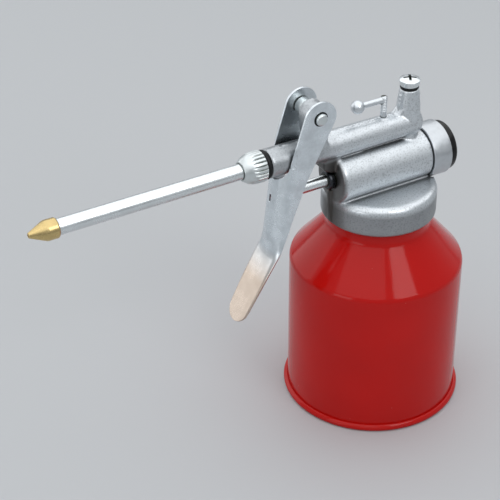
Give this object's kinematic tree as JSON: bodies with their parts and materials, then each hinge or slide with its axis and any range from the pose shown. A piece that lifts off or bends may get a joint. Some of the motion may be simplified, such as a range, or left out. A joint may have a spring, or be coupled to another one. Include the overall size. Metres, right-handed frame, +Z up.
{
  "type": "pump oil can",
  "caption": "Force-feed pump oiler: enamelled steel bottle, screw-on die-cast pump head, squeeze lever, straight spout with brass tip.",
  "frame": {"origin": "middle of the bottle's foot, on the surface it stands on", "axes": "+Z up along the bottle's axis; the spout points along -X; +Y completes a right-handed set"},
  "size_m": [0.1843, 0.0732, 0.1446],
  "materials": {
    "red_enamel": "glossy stoved enamel on drawn sheet steel",
    "black_rubber": "matt moulded rubber",
    "die_cast_alloy": "tumbled die-cast alloy, slightly grainy and dull",
    "turned_alloy": "fine turned finish",
    "steel_tube": "drawn tube",
    "brass": "turned brass",
    "polished_steel": "polished steel",
    "spring_steel": "bright spring wire",
    "nickel_plate": "bright nickel plate",
    "zinc_plate": "bright zinc plate",
    "pressed_steel": "satin plated pressed sheet steel",
    "blackened_steel": "oily blackened steel",
    "black_plastic": "glossy moulded plastic"
  },
  "bodies": {
    "bottle": {"bottle": "red_enamel", "bottle_base": "red_enamel"},
    "gasket": {"cap_gasket": "black_rubber"},
    "head": {"head_casting": "die_cast_alloy", "dip_tube": "steel_tube", "strainer": "brass", "outlet_spring": "spring_steel", "valve_screw": "nickel_plate", "valve_screw_washer": "black_rubber", "gland_nut": "blackened_steel", "gland_packing": "black_rubber", "return_spring": "spring_steel", "end_seal": "black_rubber", "end_cap": "turned_alloy", "end_plug": "black_plastic", "nozzle_ring": "black_rubber", "nozzle_nut": "zinc_plate", "ferrule": "brass", "nozzle_tube": "nickel_plate", "nozzle_tip": "brass", "pivot_pin": "zinc_plate", "pivot_spacer": "zinc_plate"},
    "lever": {"lever": "pressed_steel"},
    "rod": {"piston_rod": "nickel_plate", "piston": "turned_alloy", "piston_seal": "black_rubber", "piston_nut": "zinc_plate"},
    "vent": {"vent_handle": "polished_steel"},
    "inlet_ball": {"inlet_ball": "polished_steel"},
    "outlet_ball": {"outlet_ball": "polished_steel"}
  },
  "joints": [
    {"name": "head_lift", "type": "slide", "parent": "bottle", "child": "gasket", "axis": [0, 0, 1], "range_m": [0, 0.09]},
    {"name": "head_turn", "type": "hinge", "parent": "gasket", "child": "head", "pos_m": [0, 0, 0.0979], "axis": [0, 0, 1], "range_deg": [0, 900]},
    {"name": "lever_squeeze", "type": "hinge", "parent": "head", "child": "lever", "pos_m": [-0.0328, 0, 0.1378], "axis": [0, -1, 0], "range_deg": [0, 18]},
    {"name": "rod_push", "type": "slide", "parent": "head", "child": "rod", "axis": [1, 0, 0], "range_m": [0, 0.0102], "stiffness_N_per_m": 120, "springref_m": -0.005, "deforming": ["return_spring"]},
    {"name": "vent_turn", "type": "hinge", "parent": "head", "child": "vent", "pos_m": [0.0003, 0, 0.1336], "axis": [0, 0, 1], "range_deg": [0, 90]},
    {"name": "inlet_lift", "type": "slide", "parent": "head", "child": "inlet_ball", "axis": [0, 0, 1], "range_m": [0, 0.0011]},
    {"name": "outlet_lift", "type": "slide", "parent": "head", "child": "outlet_ball", "axis": [0, 0, 1], "range_m": [0, 0.0011], "stiffness_N_per_m": 30, "springref_m": -0.002, "deforming": ["outlet_spring"]}
  ],
  "couplings": [
    {"joint": "rod_push", "follows": "lever_squeeze", "m_per_rad": 0.0322}
  ]
}
